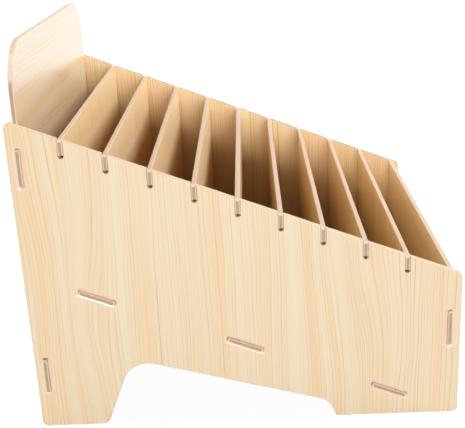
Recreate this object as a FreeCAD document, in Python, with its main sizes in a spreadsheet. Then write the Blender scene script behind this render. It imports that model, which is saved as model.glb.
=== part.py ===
import FreeCAD, Part
import math
import os
import Sketcher
from FreeCAD import Placement, Rotation, Vector

# Wooden mail sorter: a flat-pack box of thin board with ten upright compartments.
# Two side panels stand on feet and have sloping tops. A tall back panel, a low front panel and a
# sloping shelf join them with tabs that come through the sides. Nine dividers hang by their ears
# in open slots along the sloping edges and lift out.
# The origin is the middle of the footprint on the floor. +X points to the low front, +Y to the
# right side panel, +Z up. Left and right are as seen from the front. Lengths are in millimetres.

SIZES = [
    # boards
    ("board_thickness", 3.0),
    ("inner_width", 244.0),  # between the inner faces of the side panels
    ("rim_bevel", 0.35),  # soft rim that punching leaves along a cut edge
    # row of compartments
    ("divider_count", 9),
    ("divider_pitch", 26.5),
    ("first_divider", 33.0),  # from the back edge of the side panels
    ("last_divider", 35.0),  # from the front edge of the side panels
    ("compartment_depth", 99.0),  # from the sloping edge straight down to the shelf
    ("slope_angle", 21.8),
    # side panels
    ("side_corner_radius", 3.5),
    ("back_foot_length", 44.5),
    ("front_foot_length", 81.0),
    ("back_heel_radius", 6.0),
    ("front_heel_radius", 1.5),
    ("back_heel_lean", 19.5),  # how far the flank of the arch leans in as it rises
    ("arch_peak_height", 48.6),
    ("arch_peak_radius", 18.0),
    ("front_heel_lean", 4.0),
    ("arch_heel_height", 11.8),
    ("arch_heel_radius", 14.0),
    # back panel
    ("end_inset", 5.5),  # back and front panels, in from the edges of the side panels
    ("back_rise", 46.8),  # above the sloping edge
    ("back_floor_gap", 12.0),
    ("back_corner_radius", 32.0),
    ("back_tab_height", 38.4),
    ("back_tab_drop", 27.6),  # upper tab, below the sloping edge
    # front panel
    ("front_floor_gap", 2.0),
    ("front_tab_drop", 41.0),
    # shelf
    ("shelf_front_height", 5.4),  # its upper face, where it meets the front panel
    ("shelf_end_gap", 0.3),
    ("shelf_tab_count", 3),
    ("shelf_tab_pitch", 101.5),  # along the slope
    # tabs and the mortises they come through
    ("tab_length", 25.0),
    ("tab_proud", 1.6),
    ("tab_corner_radius", 2.0),
    ("tab_bevel", 0.4),
    ("tab_shoulder_gap", 0.1),
    ("mortise_gap", 0.1),  # each side of the board
    ("mortise_end_gap", 0.2),  # each end of the tab
    ("mortise_corner_radius", 1.0),
    ("low_mortise_play", 0.6),  # more room above the lower tab of the back panel
    ("mortise_lip_width", 1.7),  # the punch draws the face in round each hole
    ("mortise_lip_depth", 0.45),
    # dividers and their slots
    ("divider_top_drop", 0.2),  # below the sloping edge
    ("divider_shelf_gap", 0.3),
    ("divider_side_gap", 0.3),
    ("divider_rim_bevel", 0.25),
    ("ear_depth", 10.1),  # underside of the ear, below the sloping edge
    ("ear_corner_radius", 2.2),
    ("slot_depth", 12.0),
    ("slot_gap", 0.1),  # each side of the board
]

TOLERANCE = 0.001  # for finding edges by their place
EDGE_SIZES = {"Fillet": "Radius", "Chamfer": "Size"}

doc = FreeCAD.newDocument("mail_sorter")


def make_sheet():
    new_sheet = doc.addObject("Spreadsheet::Sheet", "Sizes")
    for row, (name, value) in enumerate(SIZES, start=1):
        new_sheet.set(f"A{row}", name)
        new_sheet.set(f"B{row}", str(value))
        new_sheet.setAlias(f"B{row}", name)
    doc.recompute()
    return new_sheet


sheet = make_sheet()

# Sizes that follow from the sheet, written as expressions for the sketches and features
BOARD = "Sizes.board_thickness"
HALF_INSIDE = "Sizes.inner_width / 2"
HALF_OUTSIDE = f"({HALF_INSIDE} + {BOARD})"
DIVIDER_RUN = "(Sizes.divider_count - 1) * Sizes.divider_pitch"
SIDE_LENGTH = f"(Sizes.first_divider + {DIVIDER_RUN} + Sizes.last_divider)"
SLOPE_ANGLE = "(Sizes.slope_angle * 1 deg)"
SLOPE = f"tan{SLOPE_ANGLE}"
SLOPE_SINE = f"sin{SLOPE_ANGLE}"
SLOPE_COSINE = f"cos{SLOPE_ANGLE}"
INSIDE_SETBACK = f"(Sizes.end_inset + {BOARD})"
PANEL_SETBACK = f"(Sizes.end_inset + {BOARD} / 2)"
SLOT_WIDTH = f"({BOARD} + 2 * Sizes.slot_gap)"
MORTISE_WIDTH = f"({BOARD} + 2 * Sizes.mortise_gap)"
MORTISE_REACH = "(Sizes.tab_length / 2 + Sizes.mortise_end_gap)"
SHELF_MIDDLE_DEPTH = f"(Sizes.compartment_depth + {BOARD} / 2 / {SLOPE_COSINE})"
SHOULDER = f"({HALF_INSIDE} - Sizes.tab_shoulder_gap)"
TAB_TIP = f"({HALF_OUTSIDE} + Sizes.tab_proud)"


def edge_height(setback):
    """Height of the sloping edge at a distance from the back edge of the side panels."""
    run = f"({SIDE_LENGTH} - {INSIDE_SETBACK} - ({setback}))"
    return f"(Sizes.shelf_front_height + Sizes.compartment_depth + {SLOPE} * {run})"


BACK_TABS = (
    "Sizes.back_tab_height",
    f"({edge_height(PANEL_SETBACK)} - Sizes.back_tab_drop)",
)
FRONT_TAB = f"({edge_height(f'{SIDE_LENGTH} - {PANEL_SETBACK}')} - Sizes.front_tab_drop)"


def value_of(expression):
    """The number that an expression gives with the sheet's present values."""
    result = sheet.evalExpression(expression)
    return float(getattr(result, "Value", result))


# Sketch tools


def new_body(label, x="0", y="0", z="0"):
    """A body whose place is tied to the sheet."""
    body = doc.addObject("PartDesign::Body", label)
    body.Label = label
    for axis, expression in zip("xyz", (x, y, z)):
        body.setExpression(f"Placement.Base.{axis}", expression)
    return body


def new_sketch(body, name, role):
    sketch = body.newObject("Sketcher::SketchObject", f"{body.Name}_{name}")
    plane = next(item for item in body.Origin.OriginFeatures if item.Role == role)
    sketch.AttachmentSupport = (plane, [""])
    sketch.MapMode = "FlatFace"
    return sketch


def bind(sketch, kind, references, expression):
    """Adds one dimension to the sketch and ties it to the sheet."""
    size = value_of(expression)
    start = math.radians(size) if kind == "Angle" else size
    index = sketch.addConstraint(Sketcher.Constraint(kind, *references, start))
    sketch.setExpression(f"Constraints[{index}]", expression)


def locate(sketch, geometry, point, across, up):
    """Fixes one point of the sketch by its two distances from the origin."""
    bind(sketch, "DistanceX", (-1, 1, geometry, point), across)
    bind(sketch, "DistanceY", (-1, 1, geometry, point), up)


def draw_polygon(sketch, corners):
    """A closed outline of straight edges. Each corner is a pair of expressions."""
    points = [Vector(value_of(across), value_of(up), 0) for across, up in corners]
    lines = []
    for start, end in zip(points, points[1:] + points[:1]):
        lines.append(sketch.addGeometry(Part.LineSegment(start, end), False))
    for line, following, (across, up) in zip(lines, lines[1:] + lines[:1], corners):
        sketch.addConstraint(Sketcher.Constraint("Coincident", line, 2, following, 1))
        locate(sketch, line, 1, across, up)
    return lines


def draw_direction(sketch, line):
    """A construction line along one side of an outline, for a pattern to follow."""
    side = sketch.Geometry[line]
    direction = sketch.addGeometry(Part.LineSegment(side.StartPoint, side.EndPoint), True)
    for end in (1, 2):
        sketch.addConstraint(Sketcher.Constraint("Coincident", direction, end, line, end))


def draw_stadium(sketch, middle, angle, length, width):
    """A slot with half-round ends. Its middle, direction and overall sizes are expressions."""
    centre = Vector(value_of(middle[0]), value_of(middle[1]), 0)
    turn = math.radians(value_of(angle))
    quarter = math.pi / 2
    radius = value_of(width) / 2
    along = Vector(math.cos(turn), math.sin(turn), 0)
    side = Vector(-along.y, along.x, 0) * radius
    reach = along * (value_of(length) / 2 - radius)
    start = centre - reach
    end = centre + reach
    axis = Vector(0, 0, 1)
    end_arc = Part.ArcOfCircle(Part.Circle(end, axis, radius), turn - quarter, turn + quarter)
    start_arc = Part.ArcOfCircle(Part.Circle(start, axis, radius), turn + quarter, turn - quarter)
    left = sketch.addGeometry(Part.LineSegment(start + side, end + side), False)
    end_round = sketch.addGeometry(end_arc, False)
    right = sketch.addGeometry(Part.LineSegment(end - side, start - side), False)
    start_round = sketch.addGeometry(start_arc, False)
    spine = sketch.addGeometry(Part.LineSegment(start, end), True)
    heart = sketch.addGeometry(Part.Point(centre), True)
    for constraint in (
        ("Tangent", left, 2, end_round, 2),
        ("Tangent", end_round, 1, right, 1),
        ("Tangent", right, 2, start_round, 2),
        ("Tangent", start_round, 1, left, 1),
        ("Equal", end_round, start_round),
        ("Coincident", spine, 1, start_round, 3),
        ("Coincident", spine, 2, end_round, 3),
        ("Symmetric", spine, 1, spine, 2, heart, 1),
    ):
        sketch.addConstraint(Sketcher.Constraint(*constraint))
    bind(sketch, "Radius", (end_round,), f"{width} / 2")
    bind(sketch, "Distance", (spine,), f"{length} - {width}")
    bind(sketch, "Angle", (spine,), angle)
    locate(sketch, heart, 1, *middle)


# Feature tools


def pad(body, sketch, midplane=False, reverse=False):
    """One board's thickness of the sketch's outline."""
    feature = body.newObject("PartDesign::Pad", f"{sketch.Name}_board")
    feature.Profile = sketch
    feature.setExpression("Length", BOARD)
    feature.Midplane = midplane
    feature.Reversed = reverse
    doc.recompute()


def check_cut(body, feature, before):
    if body.Shape.Volume >= before:
        raise RuntimeError(f"{feature.Name} cut nothing")


def cut_through(body, sketch):
    before = body.Shape.Volume
    feature = body.newObject("PartDesign::Pocket", f"{sketch.Name}_cut")
    feature.Profile = sketch
    feature.Type = "ThroughAll"
    feature.Midplane = True
    doc.recompute()
    check_cut(body, feature, before)
    return feature


def repeat_up_slope(body, cut, direction, count, pitch):
    """Repeats a cut in a row. The direction is the construction line of a sketch."""
    before = body.Shape.Volume
    row = body.newObject("PartDesign::LinearPattern", f"{cut.Name}_row")
    row.Originals = [cut]
    row.Direction = (direction, ["Axis0"])
    row.setExpression("Length", f"({count} - 1) * {pitch}")
    row.setExpression("Occurrences", count)
    body.Tip = row
    doc.recompute()
    check_cut(body, row, before)


def soften_edges(body, kind, name, size, choose):
    """Rounds or bevels edges of the body as it stands. The choice is a function of its shape."""
    base = body.Tip
    shape = base.Shape
    chosen = choose(shape)
    if not chosen:
        raise RuntimeError(f"{body.Name}: no edges for {name}")
    numbered = enumerate(shape.Edges, start=1)
    names = [
        f"Edge{number}" for number, edge in numbered if any(edge.isSame(one) for one in chosen)
    ]
    feature = body.newObject(f"PartDesign::{kind}", f"{body.Name}_{name}")
    feature.Base = (base, names)
    feature.setExpression(EDGE_SIZES[kind], size)
    doc.recompute()
    return feature


def round_edges(body, name, radius, choose):
    soften_edges(body, "Fillet", name, radius, choose)


def bevel_edges(body, name, width, choose):
    return soften_edges(body, "Chamfer", name, width, choose)


# Choices of edges


def spans(item, axis):
    """Lowest and highest coordinate of an edge or face along one axis."""
    box = item.BoundBox
    return getattr(box, f"{axis.upper()}Min"), getattr(box, f"{axis.upper()}Max")


def lies_at(item, axis, level):
    """True for an edge or face in the plane at one level of an axis."""
    return all(abs(end - level) < TOLERANCE for end in spans(item, axis))


def outline_corners(normal, corners):
    """Chooses the edges square to the board that stand at corners of its outline."""
    across, up = [axis for axis in "xyz" if axis != normal]
    places = [(value_of(first), value_of(second)) for first, second in corners]

    def choose(shape):
        return [
            edge
            for edge in shape.Edges
            for first, second in places
            if lies_at(edge, across, first) and lies_at(edge, up, second)
        ]

    return choose


def face_rims(normal, level, holes):
    """Chooses the edges of one face of the board, round its holes or round its outline."""

    def choose(shape):
        face = next(face for face in shape.Faces if lies_at(face, normal, level))
        outline = face.OuterWire
        wires = [wire for wire in face.Wires if wire.isSame(outline) != holes]
        return [edge for wire in wires for edge in wire.Edges]

    return choose


# Side panels


def from_back(setback):
    """Place along X of a distance from the back edge of the side panels."""
    return f"({setback} - {SIDE_LENGTH} / 2)"


def from_front(setback):
    """Place along X of a distance from the front edge of the side panels."""
    return f"({SIDE_LENGTH} / 2 - {setback})"


SHELF_MIDDLE_HEIGHT = f"({edge_height(f'{SIDE_LENGTH} / 2')} - {SHELF_MIDDLE_DEPTH})"


def make_side_panel(label, y, reverse):
    """The origin of the body lies in its outer face."""
    back_top = (from_back("0"), edge_height("0"))
    front_top = (from_front("0"), edge_height(SIDE_LENGTH))
    front_toe = (from_front("0"), "0")
    front_heel = (from_front("Sizes.front_foot_length"), "0")
    arch_front = "(Sizes.front_foot_length + Sizes.front_heel_lean)"
    arch_heel = (from_front(arch_front), "Sizes.arch_heel_height")
    arch_back = "(Sizes.back_foot_length + Sizes.back_heel_lean)"
    arch_peak = (from_back(arch_back), "Sizes.arch_peak_height")
    back_heel = (from_back("Sizes.back_foot_length"), "0")
    back_toe = (from_back("0"), "0")
    body = new_body(label, y=y)
    outline = new_sketch(body, "outline", "XZ_Plane")
    corners = (
        back_top,
        front_top,
        front_toe,
        front_heel,
        arch_heel,
        arch_peak,
        back_heel,
        back_toe,
    )
    draw_polygon(outline, corners)
    pad(body, outline, reverse=reverse)
    for name, radius, places in (
        ("corners", "Sizes.side_corner_radius", (back_top, front_top, front_toe, back_toe)),
        ("back_heel", "Sizes.back_heel_radius", (back_heel,)),
        ("arch_peak", "Sizes.arch_peak_radius", (arch_peak,)),
        ("arch_heel", "Sizes.arch_heel_radius", (arch_heel,)),
        ("front_heel", "Sizes.front_heel_radius", (front_heel,)),
    ):
        round_edges(body, name, radius, outline_corners("y", places))
    slope_line = cut_mortises(body)
    lips = bevel_edges(body, "lips", "Sizes.mortise_lip_width", face_rims("y", 0, holes=True))
    lips.ChamferType = "Two distances"
    lips.setExpression("Size2", "Sizes.mortise_lip_depth")
    doc.recompute()
    cut_slots(body, slope_line)
    bevel_edges(body, "rim", "Sizes.rim_bevel", face_rims("y", 0, holes=False))
    return body


def hole_corners(middle, cosine, sine, low, high):
    """Corners of a hole from low to high along one direction, measured from a tab's middle."""
    half = f"{MORTISE_WIDTH} / 2"
    corners = []
    for along, aside in ((low, half), (high, half), (high, f"-{half}"), (low, f"-{half}")):
        across = f"{middle[0]} + ({along}) * {cosine} - ({aside}) * {sine}"
        up = f"{middle[1]} + ({along}) * {sine} + ({aside}) * {cosine}"
        corners.append((across, up))
    return corners


def cut_mortises(body):
    """Holes for the tabs of the back panel, the front panel and the shelf."""
    upright = new_sketch(body, "upright_mortises", "XZ_Plane")
    rounded = []
    for across, height, play in (
        (from_back(PANEL_SETBACK), BACK_TABS[0], "Sizes.low_mortise_play"),
        (from_back(PANEL_SETBACK), BACK_TABS[1], "0"),
        (from_front(PANEL_SETBACK), FRONT_TAB, "0"),
    ):
        high = f"{MORTISE_REACH} + {play}"
        corners = hole_corners((across, height), "0", "1", f"-{MORTISE_REACH}", high)
        draw_polygon(upright, corners)
        rounded += corners
    cut_through(body, upright)
    sloping = new_sketch(body, "shelf_mortises", "XZ_Plane")
    holes = []
    for index in range(int(value_of("Sizes.shelf_tab_count"))):
        reach = f"({shelf_tab_place('Sizes.shelf_tab_count - 1')} - {index} * Sizes.shelf_tab_pitch)"
        middle = (
            f"{reach} * {SLOPE_COSINE}",
            f"{SHELF_MIDDLE_HEIGHT} - {reach} * {SLOPE_SINE}",
        )
        low = f"-{MORTISE_REACH}"
        holes.append(hole_corners(middle, f"(-{SLOPE_COSINE})", SLOPE_SINE, low, MORTISE_REACH))
        rounded += holes[-1]
    long_side = draw_polygon(sloping, holes[0])[0]
    draw_direction(sloping, long_side)
    lowest = cut_through(body, sloping)
    repeat_up_slope(body, lowest, sloping, "Sizes.shelf_tab_count", "Sizes.shelf_tab_pitch")
    radius = "Sizes.mortise_corner_radius"
    round_edges(body, "mortise_corners", radius, outline_corners("y", rounded))
    return sloping


def cut_slots(body, slope_line):
    """Open slots with half-round bottoms. Each drawn slot is as long again above the edge."""
    slot = new_sketch(body, "divider_slots", "XZ_Plane")
    setback = f"({SIDE_LENGTH} - Sizes.last_divider)"
    middle = (from_back(setback), edge_height(setback))
    draw_stadium(slot, middle, "90 deg", "2 * Sizes.slot_depth", SLOT_WIDTH)
    foremost = cut_through(body, slot)
    pitch = f"Sizes.divider_pitch / {SLOPE_COSINE}"
    repeat_up_slope(body, foremost, slope_line, "Sizes.divider_count", pitch)


# Boards between the side panels


def tabbed_outline(bottom, top, tabs):
    """Outline of a board with one tab on each side at each height."""
    right = [(SHOULDER, bottom)]
    for middle in tabs:
        low = f"({middle} - Sizes.tab_length / 2)"
        high = f"({middle} + Sizes.tab_length / 2)"
        right += [(SHOULDER, low), (TAB_TIP, low), (TAB_TIP, high), (SHOULDER, high)]
    right.append((SHOULDER, top))
    left = [(f"-{across}", up) for across, up in reversed(right)]
    return right + left


def soften_tabs(body, normal):
    """Rounds the corners of the tabs and then the rims round them."""
    tip = value_of(TAB_TIP)
    shoulder = value_of(SHOULDER)

    def is_outside(edge):
        low, high = spans(edge, "y")
        return low > shoulder - TOLERANCE or high < -shoulder + TOLERANCE

    def is_square(edge):
        low, high = spans(edge, normal)
        return high - low > TOLERANCE

    def tip_corners(shape):
        ends = [edge for edge in shape.Edges if is_square(edge)]
        return [edge for edge in ends if lies_at(edge, "y", tip) or lies_at(edge, "y", -tip)]

    def tab_rims(shape):
        return [
            edge
            for edge in shape.Edges
            if is_outside(edge)
            and not is_square(edge)
            and not lies_at(edge, "y", shoulder)
            and not lies_at(edge, "y", -shoulder)
        ]

    round_edges(body, "tab_corners", "Sizes.tab_corner_radius", tip_corners)
    bevel_edges(body, "tab_rims", "Sizes.tab_bevel", tab_rims)


def make_back_panel():
    """The origin of the body lies in its outer face."""
    top = f"({edge_height(PANEL_SETBACK)} + Sizes.back_rise)"
    body = new_body("back_panel", x=from_back("Sizes.end_inset"))
    outline = new_sketch(body, "outline", "YZ_Plane")
    draw_polygon(outline, tabbed_outline("Sizes.back_floor_gap", top, BACK_TABS))
    pad(body, outline)
    top_corners = ((SHOULDER, top), (f"-{SHOULDER}", top))
    round_edges(body, "top", "Sizes.back_corner_radius", outline_corners("x", top_corners))
    soften_tabs(body, "x")
    return body


def make_front_panel():
    """The origin of the body lies in its inner face."""
    outer = f"({SIDE_LENGTH} - Sizes.end_inset)"
    body = new_body("front_panel", x=from_front(INSIDE_SETBACK))
    outline = new_sketch(body, "outline", "YZ_Plane")
    top = edge_height(outer)
    draw_polygon(outline, tabbed_outline("Sizes.front_floor_gap", top, (FRONT_TAB,)))
    pad(body, outline)
    soften_tabs(body, "x")
    return body


def shelf_tab_place(index):
    """Distance of a tab from the middle of the shelf, down the slope. The first is highest."""
    return f"(({index}) - (Sizes.shelf_tab_count - 1) / 2) * Sizes.shelf_tab_pitch"


def make_shelf():
    """The origin of the body is the middle of the board, which is turned to the slope."""
    body = new_body("shelf", z=SHELF_MIDDLE_HEIGHT)
    body.Placement = Placement(body.Placement.Base, Rotation(Vector(0, 1, 0), 0))
    body.setExpression("Placement.Rotation.Angle", SLOPE_ANGLE)
    room = f"({SIDE_LENGTH} - 2 * {INSIDE_SETBACK} - 2 * Sizes.shelf_end_gap)"
    half = f"({room} - {BOARD} * {SLOPE_SINE}) / {SLOPE_COSINE} / 2"
    count = int(value_of("Sizes.shelf_tab_count"))
    tabs = [shelf_tab_place(index) for index in range(count)]
    outline = new_sketch(body, "outline", "XY_Plane")
    corners = tabbed_outline(f"-{half}", half, tabs)
    draw_polygon(outline, [(along, across) for across, along in corners])
    pad(body, outline, midplane=True)
    soften_tabs(body, "z")
    return body


# Dividers


def make_divider(index):
    """The origin of the body is the middle of the board, level with the sloping edge there."""
    setback = f"(Sizes.first_divider + {index} * Sizes.divider_pitch)"
    label = f"divider_{index + 1}"
    body = new_body(label, x=from_back(setback), z=edge_height(setback))
    half = f"({HALF_INSIDE} - Sizes.divider_side_gap)"
    rise = f"{SLOPE} * {BOARD} / 2"
    bottom = f"({rise} + Sizes.divider_shelf_gap - Sizes.compartment_depth)"
    top = "-Sizes.divider_top_drop"
    ear = "-Sizes.ear_depth"
    right = [(half, bottom), (half, ear), (HALF_OUTSIDE, ear), (HALF_OUTSIDE, top)]
    left = [(f"-{across}", up) for across, up in reversed(right)]
    outline = new_sketch(body, "outline", "YZ_Plane")
    draw_polygon(outline, right + left)
    pad(body, outline, midplane=True)
    shoulders = ((HALF_OUTSIDE, top), (f"-{HALF_OUTSIDE}", top))
    round_edges(body, "ears", "Sizes.ear_corner_radius", outline_corners("x", shoulders))
    half_board = value_of(BOARD) / 2
    ear_level = value_of(ear)

    def upper_rims(shape):
        """Edges of both faces of the board, round the ears and along the top."""
        return [
            edge
            for edge in shape.Edges
            if lies_at(edge, "x", half_board) or lies_at(edge, "x", -half_board)
            if sum(spans(edge, "z")) / 2 > ear_level + TOLERANCE
        ]

    bevel_edges(body, "rims", "Sizes.divider_rim_bevel", upper_rims)
    return body


def make_pieces():
    count = int(value_of("Sizes.divider_count"))
    return [
        make_side_panel("side_panel_left", f"-{HALF_OUTSIDE}", reverse=True),
        make_side_panel("side_panel_right", HALF_OUTSIDE, reverse=False),
        make_back_panel(),
        make_front_panel(),
        make_shelf(),
        *[make_divider(index) for index in range(count)],
    ]


def check_pieces(pieces):
    doc.recompute()
    for item in doc.Objects:
        if {"Invalid", "Error"} & set(item.State):
            raise RuntimeError(f"{item.Name}: {item.State}")
    for piece in pieces:
        shape = piece.Shape
        if shape.isNull() or not shape.isValid() or len(shape.Solids) != 1:
            raise RuntimeError(f"{piece.Label} isn't one valid solid")


def write_pieces(pieces):
    os.makedirs("parts", exist_ok=True)
    for piece in pieces:
        piece.Shape.exportStep(f"parts/{piece.Label}.step")


pieces = make_pieces()
check_pieces(pieces)
write_pieces(pieces)
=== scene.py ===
"""The looks of a flat-pack mail sorter: film-faced boards with printed pine grain and raw cut edges."""

from math import radians

import bpy
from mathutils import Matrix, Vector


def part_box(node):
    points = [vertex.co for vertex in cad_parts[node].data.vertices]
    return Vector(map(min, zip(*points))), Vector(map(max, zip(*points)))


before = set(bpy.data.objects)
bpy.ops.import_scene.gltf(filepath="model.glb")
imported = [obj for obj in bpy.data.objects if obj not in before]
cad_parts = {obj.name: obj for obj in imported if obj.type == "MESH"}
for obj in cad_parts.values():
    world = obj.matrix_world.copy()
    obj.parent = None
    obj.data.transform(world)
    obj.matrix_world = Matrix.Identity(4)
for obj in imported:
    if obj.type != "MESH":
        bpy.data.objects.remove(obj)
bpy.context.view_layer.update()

MM = 0.001

# Camera of the photograph: place in metres, turn in degrees, lens and sensor in millimetres
CAMERA_PLACE = (0.008977, -0.644773, 0.334692)
CAMERA_TURN = (70.178, 2.7145, 0.4844)
CAMERA_LENS = 68.882
CAMERA_SENSOR = 36.0

# Light: a tent that is bright round the sides and dim overhead, a small lamp in front and three wide
# ones. Places and sizes are in metres, powers in watts.
TENT_COLOR = (1.0, 0.985, 0.965)
SIDE_STRENGTH = 1.8
OVERHEAD_STRENGTH = 0.1
SIDE_FALL = 8.0
LAMPS = {
    "front": {"place": (0.1, -2.2, 0.34), "size": 0.4, "power": 30.0, "color": (1, 1, 1)},
    "rear": {"place": (-1.2, 1.8, 0.38), "size": 0.9, "power": 18.0, "color": (1, 1, 1)},
    "right": {"place": (1.35, 0.3, 1.45), "size": 0.8, "power": 43.0, "color": (0.95, 1.06, 1.27)},
    "left": {"place": (-1.5, 0.3, 1.0), "size": 0.8, "power": 15.0, "color": (1, 1, 1)},
}

# Floor: its colour to the camera, its colour to bounced light, the share of it that glows by itself,
# and the distances in millimetres over which that share grows to the whole
FLOOR_SIZE = 12.0
FLOOR_COLOR = (0.95, 0.95, 0.95)
FLOOR_BOUNCE = (0.25, 0.25, 0.25)
FLOOR_GLOW = 0.8
FLOOR_BRIGHTNESS = 1.17
FLOOR_FADE = (350.0, 1200.0)

# Colours of the printed film and of the cut board, as they look in the photograph
CREAM = (242, 220, 185)
PALE_CREAM = (241, 224, 194)
HONEY = (243, 208, 160)
LATEWOOD = (202, 166, 116)
# The film rolled over the rims; on the rounded corners of a tab's end this pale colour is a painted
# highlight
ROLLED_RIM_AND_HIGHLIGHT = (238, 213, 189)
CUT_EDGE = (222, 189, 155)
# Painted shade: a darker, greyer copy of the cut edge colour for the far panel's edges
FAR_SHADED_EDGE = (176, 156, 136)
RAW_CORE = (206, 176, 150)
CORE_FIBRE = (176, 142, 115)
# Painted shade: a near-black core colour for the bottom of the slots under the ears, which lie in shade
SHADED_SLOT_CORE = (38, 27, 20)

# Painted shade over the film of the faces that look into the compartments: darker, warmer copies of it
INNER_SHADE_TINT = (0.98, 0.93, 0.81)
DIVIDER_SHADE_TINT = (0.97, 0.85, 0.64)
BACK_SHADE_TINT = (0.79, 0.725, 0.62)

# Half the room between the two side panels and half the depth over them, in millimetres
INNER_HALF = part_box("side_panel_right")[0][1] / MM
OUTER_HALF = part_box("side_panel_right")[1][1] / MM

# Noise behind the printed grain: its size across and along the grain in millimetres, its layer, counted
# from the board's own one, and its detail
GRAIN_NOISE = {
    "sway": (50, 280, 0.0, 1.0),
    "wave": (11, 45, 2.3, 1.0),
    "broad": (12, 260, 3.1, 2.0),
    "bunch": (16, 300, 11.3, 1.0),
    "spread": (18, 420, 5.5, 1.0),
    "fade": (2.4, 60, 1.7, 2.0),
    "fibre": (0.35, 9, 0.0, 2.0),
}
# How far the noise pushes the lines aside, in millimetres
SWAY_PUSH = 8
WAVE_PUSH = 2.4
SPREAD_PUSH = 14

# Growth lines: pitch in millimetres, then the soft flank and the sharp flank as shares of the pitch
WARM_LINES = (17.0, 0.55, 0.05)
BOLD_LINES = (2.5, 0.22, 0.07)
FINE_LINES = (1.7, 0.35, 0.12)
FINE_STRETCH = 1.07
WARM_STEP = 7  # from one board's warm lines to the next board's, in millimetres per layer
LINE_STRENGTH = (0.3, 1.0)
LINE_END = (0.6, 0.9)  # share of the pitch at which a line ends
LINE_END_SEED = 57.0

# Values of the noise over which each kind of figure comes in, and the strength it then runs between
WARM_START = (0.35, 0.6)
PALE_START = (0.5, 0.7)
FADE_START = (0.25, 0.7)
FADE_STRENGTH = (0.5, 1.0)
BOLD_START = (0.32, 0.58)
BOLD_STRENGTH = (0.25, 1.0)
FINE_START = (0.35, 0.65)
FINE_STRENGTH = (0.15, 0.65)
FIBRE_STRENGTH = 0.16
PALE_HIDES = 0.85  # share of the lines lost in a pale band
WARM_HIDES = 0.4  # share of the lines lost in a warm band
CHANCE_BANDS = 0.45  # share of the noise's own bands left where streaks are listed

# Streaks printed on the near side: place, soft reach on its left, reach on its right, and strength,
# where a strength over 0 is warm and one under 0 is pale
NEAR_STREAKS = (
    (8, 7, 4, 0.8),
    (16, 5, 1.5, 0.6),
    (22, 3, 5, -0.4),
    (30, 4, 1.0, 0.9),
    (37, 3, 8, -0.7),
    (46, 5, 1.5, 0.7),
    (61, 5, 7, -0.8),
    (78, 12, 8, 0.5),
    (96, 5, 5, -0.4),
    (108, 6, 2.0, 0.75),
    (127, 7, 1.5, 0.75),
    (136, 2, 6, -0.6),
    (174, 9, 8, -0.9),
    (188, 7, 1.0, 0.85),
    (193, 1.5, 5, -0.8),
    (202, 5, 1.2, 0.75),
    (208, 2, 5, -0.6),
    (216, 4, 2, 0.6),
    (231, 7, 4, 0.5),
    (266, 8, 5, 0.5),
)
# Places where the near side's grain bends: place, height, reach across and along, and sideways push
NEAR_BENDS = (
    (38, 75, 26, 80, -7),
    (205, 190, 50, 200, -14),
    (232, 60, 24, 60, 3),
    (14, 120, 20, 70, 3),
)

# Each board: the direction that its front looks to, the axes across and along its grain, and the painted
# shade tint of the face behind. Gloss, figure, edge colour or a painted shade tint in front are given where
# they differ.
SHELF_FACE = (0.3714, 0.0, 0.9285)
BOARDS = {
    "side_panel_left": {
        "face": (0, -1, 0),
        "across": "X",
        "along": "Z",
        "behind": INNER_SHADE_TINT,
        "streaks": NEAR_STREAKS,
        "bends": NEAR_BENDS,
    },
    "side_panel_right": {
        "face": (0, 1, 0),
        "across": "X",
        "along": "Z",
        "behind": INNER_SHADE_TINT,
        "figure": 1.35,
        # painted shade on this panel's cut edges
        "edge": FAR_SHADED_EDGE,
    },
    "back_panel": {
        "face": (-1, 0, 0),
        "across": "Z",
        "along": "Y",
        "behind": BACK_SHADE_TINT,
        "gloss": 0.8,
        "figure": 0.9,
    },
    "front_panel": {"face": (1, 0, 0), "across": "Z", "along": "Y", "behind": INNER_SHADE_TINT},
    "shelf": {"face": SHELF_FACE, "across": "X", "along": "Y", "behind": INNER_SHADE_TINT},
}
DIVIDER = {
    "face": (1, 0, 0),
    "across": "Y",
    "along": "Z",
    "behind": DIVIDER_SHADE_TINT,
    "front": DIVIDER_SHADE_TINT,
    "figure": 1.4,
}
DIVIDERS = tuple(name for name in sorted(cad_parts) if name.startswith("divider_"))

# Which part of the printed sheet a board shows: its layer, and shifts across the grain in millimetres
BOARD_LAYER_STEP = 5.3
DIVIDER_LAYER = 40
DIVIDER_LAYER_STEP = 3.7
SIDE_SHIFT = 140.0  # puts 0 on the back edge of a side panel
BEHIND_SHIFT = 430

# How squarely a surface has to face along its board's own direction, or to the side, to count as
# turned to that side, tinted with painted shade, film-faced, smooth, on the rim, on an end, or flat on an
# end
TURNED = (-0.1, 0.1)
SHADE_TINTED = (0.0, 0.2)
FACED = (0.97, 0.985)
SMOOTH = (0.3, 0.9)
ON_RIM = (0.75, 0.93)
ON_END = (0.5, 0.7)
FLAT_END = (0.93, 0.97)

# Places on a board in millimetres: where the film stops on a tab or ear, half the thickness of the
# bare core on its end, and the patch of painted shade that shows in the slot under an ear, where the slot
# lies in shade
FILM_END = (OUTER_HALF - 1.0, OUTER_HALF - 0.5)
CORE_HALF = (0.75, 1.15)
EAR_DEPTH = 10.1
EAR_REACH = (INNER_HALF + 1.0, INNER_HALF + 1.6)
SLOT_SHADE_START = (-0.5, 0.0)
SLOT_SHADE_END = (2.5, 3.5)

# Surface: roughness of a cut edge and of the film, shine, and the height of grit and of printed lines
ROUGHNESS = (0.75, 0.3)
REFRACTION = 1.5
PLAIN_GLOSS = 0.1
GLOSS_ROUGHNESS = 0.15
GRIT_SIZE = 0.25
GRIT_DETAIL = 3.0
FIBRE_START = (0.3, 0.75)
GRIT_HEIGHT = 0.6
LINE_DEPTH = 0.03
BUMP_DISTANCE = 0.0002


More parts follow.
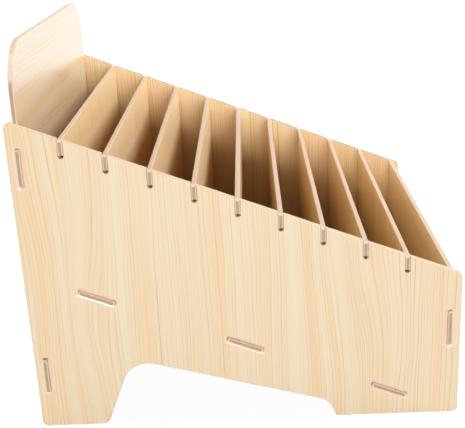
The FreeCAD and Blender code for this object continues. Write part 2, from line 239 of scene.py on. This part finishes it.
def linear(color):
    """A colour written as 0-255 screen values, as Blender's linear RGBA."""
    parts = []
    for value in color:
        share = value / 255
        parts.append(share / 12.92 if share <= 0.04045 else ((share + 0.055) / 1.055) ** 2.4)
    return (*parts, 1.0)


class Wire:
    """A socket's number in shader maths, so that an expression on wires adds its Math nodes."""

    def __init__(self, shop, socket):
        self.shop = shop
        self.socket = socket

    def math(self, operation, *others):
        node = self.shop.node("ShaderNodeMath", {"operation": operation}, dict(enumerate((self, *others))))
        return Wire(self.shop, node.outputs[0])

    def __add__(self, other):
        return self.math("ADD", other)

    def __sub__(self, other):
        return self.math("SUBTRACT", other)

    def __mul__(self, other):
        return self.math("MULTIPLY", other)

    def __truediv__(self, other):
        return self.math("DIVIDE", other)

    def __rsub__(self, other):
        return (self * -1.0) + other

    def __pow__(self, other):
        return self.math("POWER", other)

    __radd__ = __add__

    def __abs__(self):
        return self.math("ABSOLUTE")

    def top(self, other):
        return self.math("MAXIMUM", other)

    def part(self):
        """The fraction left after the whole number, always from 0 to 1."""
        return self.math("FRACT")

    def chance(self):
        """A random number from 0 to 1 that stays the same for one whole number."""
        node = self.shop.node(
            "ShaderNodeTexWhiteNoise",
            {"noise_dimensions": "1D"},
            {"W": self.math("FLOOR")},
        )
        return Wire(self.shop, node.outputs["Value"])

    def step(self, low, high):
        """A smooth step from 0 at low to 1 at high."""
        node = self.shop.node(
            "ShaderNodeMapRange",
            {"interpolation_type": "SMOOTHSTEP"},
            {"Value": self, "From Min": low, "From Max": high},
        )
        return Wire(self.shop, node.outputs[0])

    def between(self, low, high):
        """Runs from low to high as this wire runs from 0 to 1."""
        return self * (high - low) + low


class Shop:
    """One material's node tree, with one method that adds any node."""

    def __init__(self, tree):
        self.tree = tree
        tree.nodes.clear()

    def node(self, kind, settings=None, values=None):
        """Adds a node, sets its settings, then fills its sockets with numbers, colours or links."""
        node = self.tree.nodes.new(kind)
        for name, value in (settings or {}).items():
            setattr(node, name, value)
        for name, value in (values or {}).items():
            socket = node.inputs[name]
            if isinstance(value, Wire):
                self.tree.links.new(value.socket, socket)
            elif isinstance(value, bpy.types.NodeSocket):
                self.tree.links.new(value, socket)
            else:
                socket.default_value = value
        return node

    def places(self):
        """The object coordinates of a point, in millimetres, as three wires."""
        where = self.node("ShaderNodeTexCoord")
        scaled = self.node(
            "ShaderNodeVectorMath",
            {"operation": "SCALE"},
            {0: where.outputs["Object"], "Scale": 1 / MM},
        )
        split = self.node("ShaderNodeSeparateXYZ", None, {0: scaled.outputs[0]})
        return {name: Wire(self, split.outputs[name]) for name in "XYZ"}

    def facing(self):
        """The normal's three parts in the object's own frame."""
        where = self.node("ShaderNodeTexCoord")
        split = self.node("ShaderNodeSeparateXYZ", None, {0: where.outputs["Normal"]})
        return {name: Wire(self, split.outputs[name]) for name in "XYZ"}

    def seen(self, *rays):
        """1 for a ray of one of the named kinds, 0 for any other."""
        path = self.node("ShaderNodeLightPath")
        share = Wire(self, path.outputs[rays[0]])
        for ray in rays[1:]:
            share = share.top(Wire(self, path.outputs[ray]))
        return share

    def noise(self, x, y, z, detail):
        """Noise of about 0.5 at a point given by three wires or numbers."""
        where = self.node("ShaderNodeCombineXYZ", None, {0: x, 1: y, 2: z})
        node = self.node(
            "ShaderNodeTexNoise",
            None,
            {"Vector": where.outputs[0], "Scale": 1.0, "Detail": detail, "Roughness": 0.5},
        )
        return Wire(self, node.outputs[0])

    def blend(self, share, first, second):
        """Mixes two colours, each a 0-255 colour or a colour socket."""
        ends = [linear(end) if isinstance(end, tuple) else end for end in (first, second)]
        node = self.node(
            "ShaderNodeMix",
            {"data_type": "RGBA"},
            {0: share, 6: ends[0], 7: ends[1]},
        )
        return node.outputs[2]

    def tint(self, share, color, stain):
        """Multiplies a colour by a tint, which the boards use for painted shade."""
        node = self.node(
            "ShaderNodeMix",
            {"data_type": "RGBA", "blend_type": "MULTIPLY"},
            {0: share, 6: color, 7: (*stain, 1.0)},
        )
        return node.outputs[2]

    def bump(self, height):
        """A bumped normal from a height."""
        node = self.node("ShaderNodeBump", None, {"Height": height, "Distance": BUMP_DISTANCE})
        return node.outputs[0]

    def finish(self, **sockets):
        """The surface shader, with its sockets given by name."""
        values = {name.replace("_", " "): value for name, value in sockets.items()}
        shader = self.node("ShaderNodeBsdfPrincipled", None, values)
        self.node("ShaderNodeOutputMaterial", None, {0: shader.outputs[0]})


def new_shop(name):
    """A new material and the shop that fills its node tree."""
    material = bpy.data.materials.new(name)
    material.use_nodes = True
    return material, Shop(material.node_tree)


def growth_lines(place, lines):
    """Latewood lines: each rises softly on one side, ends sharply on the other and has its own strength."""
    pitch, soft, sharp = lines
    count = place / pitch
    share = count.part()
    strength = count.chance().between(*LINE_STRENGTH)
    end = (count + LINE_END_SEED).chance().between(*LINE_END)
    rise = (share - end + soft).step(0.0, soft)
    fall = 1 - (share - end).step(0.0, sharp)
    return rise * fall * strength


def pine_film(shop, across, along, layer, board):
    """The printed film's colour and lines, from places in millimetres across and along the grain."""

    def noise(name, place):
        width, length, own_layer, detail = GRAIN_NOISE[name]
        return shop.noise(place / width, along / length, layer + own_layer, detail)

    sway = (noise("sway", across) - 0.5) * SWAY_PUSH
    wave = (noise("wave", across) - 0.5) * WAVE_PUSH
    drift = across + sway + wave
    for place, height, reach, rise, push in board.get("bends", ()):
        near = 1 - abs(across - place).step(0.0, reach)
        drift = drift - near * (1 - abs(along - height).step(0.0, rise)) * push
    broad = noise("broad", drift)
    bunch = noise("bunch", drift)

    streaks = board.get("streaks", ())
    by_chance = CHANCE_BANDS if streaks else 1.0
    warm = growth_lines(drift + layer * WARM_STEP, WARM_LINES) * by_chance * broad.step(*WARM_START)
    pale = (1 - broad).step(*PALE_START) * by_chance
    for place, left, right, strength in streaks:
        side = drift - place
        bar = side.step(-left, 0.0) * (1 - side.step(0.0, right)) * abs(strength)
        if strength > 0:
            warm = warm.top(bar)
        else:
            pale = pale.top(bar)
    paper = shop.blend(warm, CREAM, HONEY)
    paper = shop.blend(pale, paper, PALE_CREAM)

    spread = drift + noise("spread", drift) * SPREAD_PUSH
    bold = growth_lines(spread + layer, BOLD_LINES)
    bold = bold * bunch.step(*BOLD_START).between(*BOLD_STRENGTH)
    fine = growth_lines(spread * FINE_STRETCH + layer, FINE_LINES)
    fine = fine * (1 - bunch).step(*FINE_START).between(*FINE_STRENGTH)
    fade = noise("fade", drift).step(*FADE_START).between(*FADE_STRENGTH)
    lines = bold.top(fine) * fade * (1 - pale * PALE_HIDES) * (1 - warm * WARM_HIDES)
    fibre = (noise("fibre", across) - 0.5) * FIBRE_STRENGTH
    film = shop.blend(lines * board.get("figure", 1.0) + fibre, paper, LATEWOOD)
    return film, lines


def measure_along(face, wires):
    """How far a point or direction, given as three wires, reaches along a board's face direction."""
    return sum(wires[axis] * part for axis, part in zip("XYZ", face) if part)


def painted_slot_shade(node, place):
    """1 on the patch of painted shade under a divider's ears, which shows at the bottom of the slots where
    they lie in shade.
    """
    under = (place["Z"] * -1) + (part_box(node)[1][2] / MM - EAR_DEPTH)
    inside = 1 - abs(place["Y"]).step(*EAR_REACH)
    return under.step(*SLOT_SHADE_START) * (1 - under.step(*SLOT_SHADE_END)) * inside


def cut_color(shop, node, board, place, normal, grit):
    """The colour of a board's cut edges, with the bare core on the ends of its tabs or ears, and painted
    shade on a divider's core under its ears.
    """
    flatness = abs(measure_along(board["face"], normal))
    edge = shop.blend(flatness.step(*ON_RIM), board.get("edge", CUT_EDGE), ROLLED_RIM_AND_HIGHLIGHT)
    if board["face"][1] != 0:
        return edge
    core = shop.blend(grit.step(*FIBRE_START), CORE_FIBRE, RAW_CORE)
    if node in DIVIDERS:
        # Painted shade: the core goes near black under the ears, where the slot lies in shade
        core = shop.blend(painted_slot_shade(node, place), core, SHADED_SLOT_CORE)
    middle = sum((low + high) / 2 / MM * part for low, high, part in zip(*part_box(node), board["face"]))
    off_middle = abs(measure_along(board["face"], place) - middle)
    # Raw core only on the flat middle of an end; the pale rim colour around it is the film rolled over the
    # edge, and on the rounded corners a painted highlight
    bare = abs(normal["Y"]).step(*FLAT_END) * (1 - off_middle.step(*CORE_HALF))
    end = shop.blend(bare, ROLLED_RIM_AND_HIGHLIGHT, core)
    return shop.blend(abs(normal["Y"]).step(*ON_END), edge, end)


def board_finish(node, board, layer, shift=0.0):
    """A board's material: film on its two faces, with painted shade on those in the compartments, pale rims
    and cut edges, raw core on its ends.
    """
    material, shop = new_shop(node + "_film")
    place = shop.places()
    normal = shop.facing()
    towards = measure_along(board["face"], normal)
    away = towards * -1
    across = place[board["across"]] + away.step(*TURNED) * BEHIND_SHIFT + shift
    film, lines = pine_film(shop, across, place[board["along"]], layer, board)
    # Painted shade: the film on the faces that look into the compartments, and on both faces of a divider,
    # is darkened and warmed
    film = shop.tint(away.step(*SHADE_TINTED), film, board["behind"])
    if "front" in board:
        film = shop.tint(towards.step(*SHADE_TINTED), film, board["front"])
    grit = shop.noise(*(place[axis] / GRIT_SIZE for axis in "XYZ"), GRIT_DETAIL)
    flatness = abs(towards)
    faced = flatness.step(*FACED)
    if board["face"][1] == 0:
        faced = faced * (1 - abs(place["Y"]).step(*FILM_END))
    smooth = flatness.step(*SMOOTH)
    shop.finish(
        Base_Color=shop.blend(faced, cut_color(shop, node, board, place, normal, grit), film),
        Roughness=smooth.between(*ROUGHNESS),
        IOR=REFRACTION,
        Coat_Weight=faced * board.get("gloss", PLAIN_GLOSS),
        Coat_Roughness=GLOSS_ROUGHNESS,
        Normal=shop.bump((1 - smooth) * grit * GRIT_HEIGHT - lines * smooth * LINE_DEPTH),
    )
    return material


def dress_boards():
    """Gives every board its finish, each from its own part of the printed sheet."""
    for number, (node, board) in enumerate(sorted(BOARDS.items())):
        shift = SIDE_SHIFT if node.startswith("side_panel") else 0.0
        material = board_finish(node, board, number * BOARD_LAYER_STEP, shift)
        paint(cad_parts[node], material)
    for number, node in enumerate(DIVIDERS):
        material = board_finish(node, DIVIDER, DIVIDER_LAYER + number * DIVIDER_LAYER_STEP)
        paint(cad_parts[node], material)


def paint(piece, material):
    """Puts one material in every slot of a piece."""
    if not piece.data.materials:
        piece.data.materials.append(material)
    for slot in piece.material_slots:
        slot.link = "OBJECT"
        slot.material = material


def lay_floor():
    """A wide white floor that looks white to the camera and keeps a soft shadow."""
    bpy.ops.mesh.primitive_plane_add(size=FLOOR_SIZE, location=(0, 0, 0))
    floor = bpy.context.active_object
    floor.name = "floor"
    material, shop = new_shop("floor_white")
    seen = shop.seen("Is Camera Ray", "Is Glossy Ray")
    plain = shop.node(
        "ShaderNodeMix",
        {"data_type": "RGBA"},
        {0: seen, 6: (*FLOOR_BOUNCE, 1.0), 7: (*FLOOR_COLOR, 1.0)},
    )
    paint_white = shop.node("ShaderNodeBsdfDiffuse", None, {"Color": plain.outputs[2]})
    glow = shop.node("ShaderNodeEmission", None, {"Color": (1, 1, 1, 1), "Strength": FLOOR_BRIGHTNESS})
    place = shop.places()
    distance = (place["X"] * place["X"] + place["Y"] * place["Y"]) ** 0.5
    share = distance.step(*FLOOR_FADE).between(FLOOR_GLOW, 1.0)
    both = shop.node(
        "ShaderNodeMixShader",
        None,
        {0: seen * share, 1: paint_white.outputs[0], 2: glow.outputs[0]},
    )
    shop.node("ShaderNodeOutputMaterial", None, {0: both.outputs[0]})
    floor.data.materials.append(material)


def light_studio():
    """A pale tent, which the camera and the gloss see as plain white, and the lamps."""
    world = bpy.data.worlds.new("studio")
    bpy.context.scene.world = world
    world.use_nodes = True
    shop = Shop(world.node_tree)
    seen = shop.seen("Is Camera Ray", "Is Glossy Ray", "Is Transmission Ray")
    look = shop.node("ShaderNodeTexCoord")
    split = shop.node("ShaderNodeSeparateXYZ", None, {0: look.outputs["Generated"]})
    height = Wire(shop, split.outputs["Z"]).top(0.0)
    strength = ((1 - height) ** SIDE_FALL).between(OVERHEAD_STRENGTH, SIDE_STRENGTH)
    dome = shop.node("ShaderNodeBackground", None, {0: (*TENT_COLOR, 1.0), 1: strength})
    white = shop.node("ShaderNodeBackground", None, {0: (1, 1, 1, 1), 1: 1.0})
    both = shop.node("ShaderNodeMixShader", None, {0: seen, 1: dome.outputs[0], 2: white.outputs[0]})
    shop.node("ShaderNodeOutputWorld", None, {0: both.outputs[0]})
    for name, lamp in LAMPS.items():
        bpy.ops.object.light_add(type="AREA", location=lamp["place"])
        softbox = bpy.context.active_object
        softbox.name = name + "_softbox"
        softbox.data.size = lamp["size"]
        softbox.data.energy = lamp["power"]
        softbox.data.color = lamp["color"]
        softbox.rotation_euler = softbox.location.to_track_quat("Z", "Y").to_euler()


def set_camera():
    """The photograph's viewpoint."""
    turn = [radians(angle) for angle in CAMERA_TURN]
    bpy.ops.object.camera_add(location=CAMERA_PLACE, rotation=turn)
    camera = bpy.context.active_object
    camera.data.lens = CAMERA_LENS
    camera.data.sensor_width = CAMERA_SENSOR
    camera.data.sensor_fit = "HORIZONTAL"
    bpy.context.scene.camera = camera


bpy.ops.object.select_all(action="DESELECT")
bpy.context.scene.view_settings.view_transform = "Standard"
set_camera()
light_studio()
lay_floor()
dress_boards()
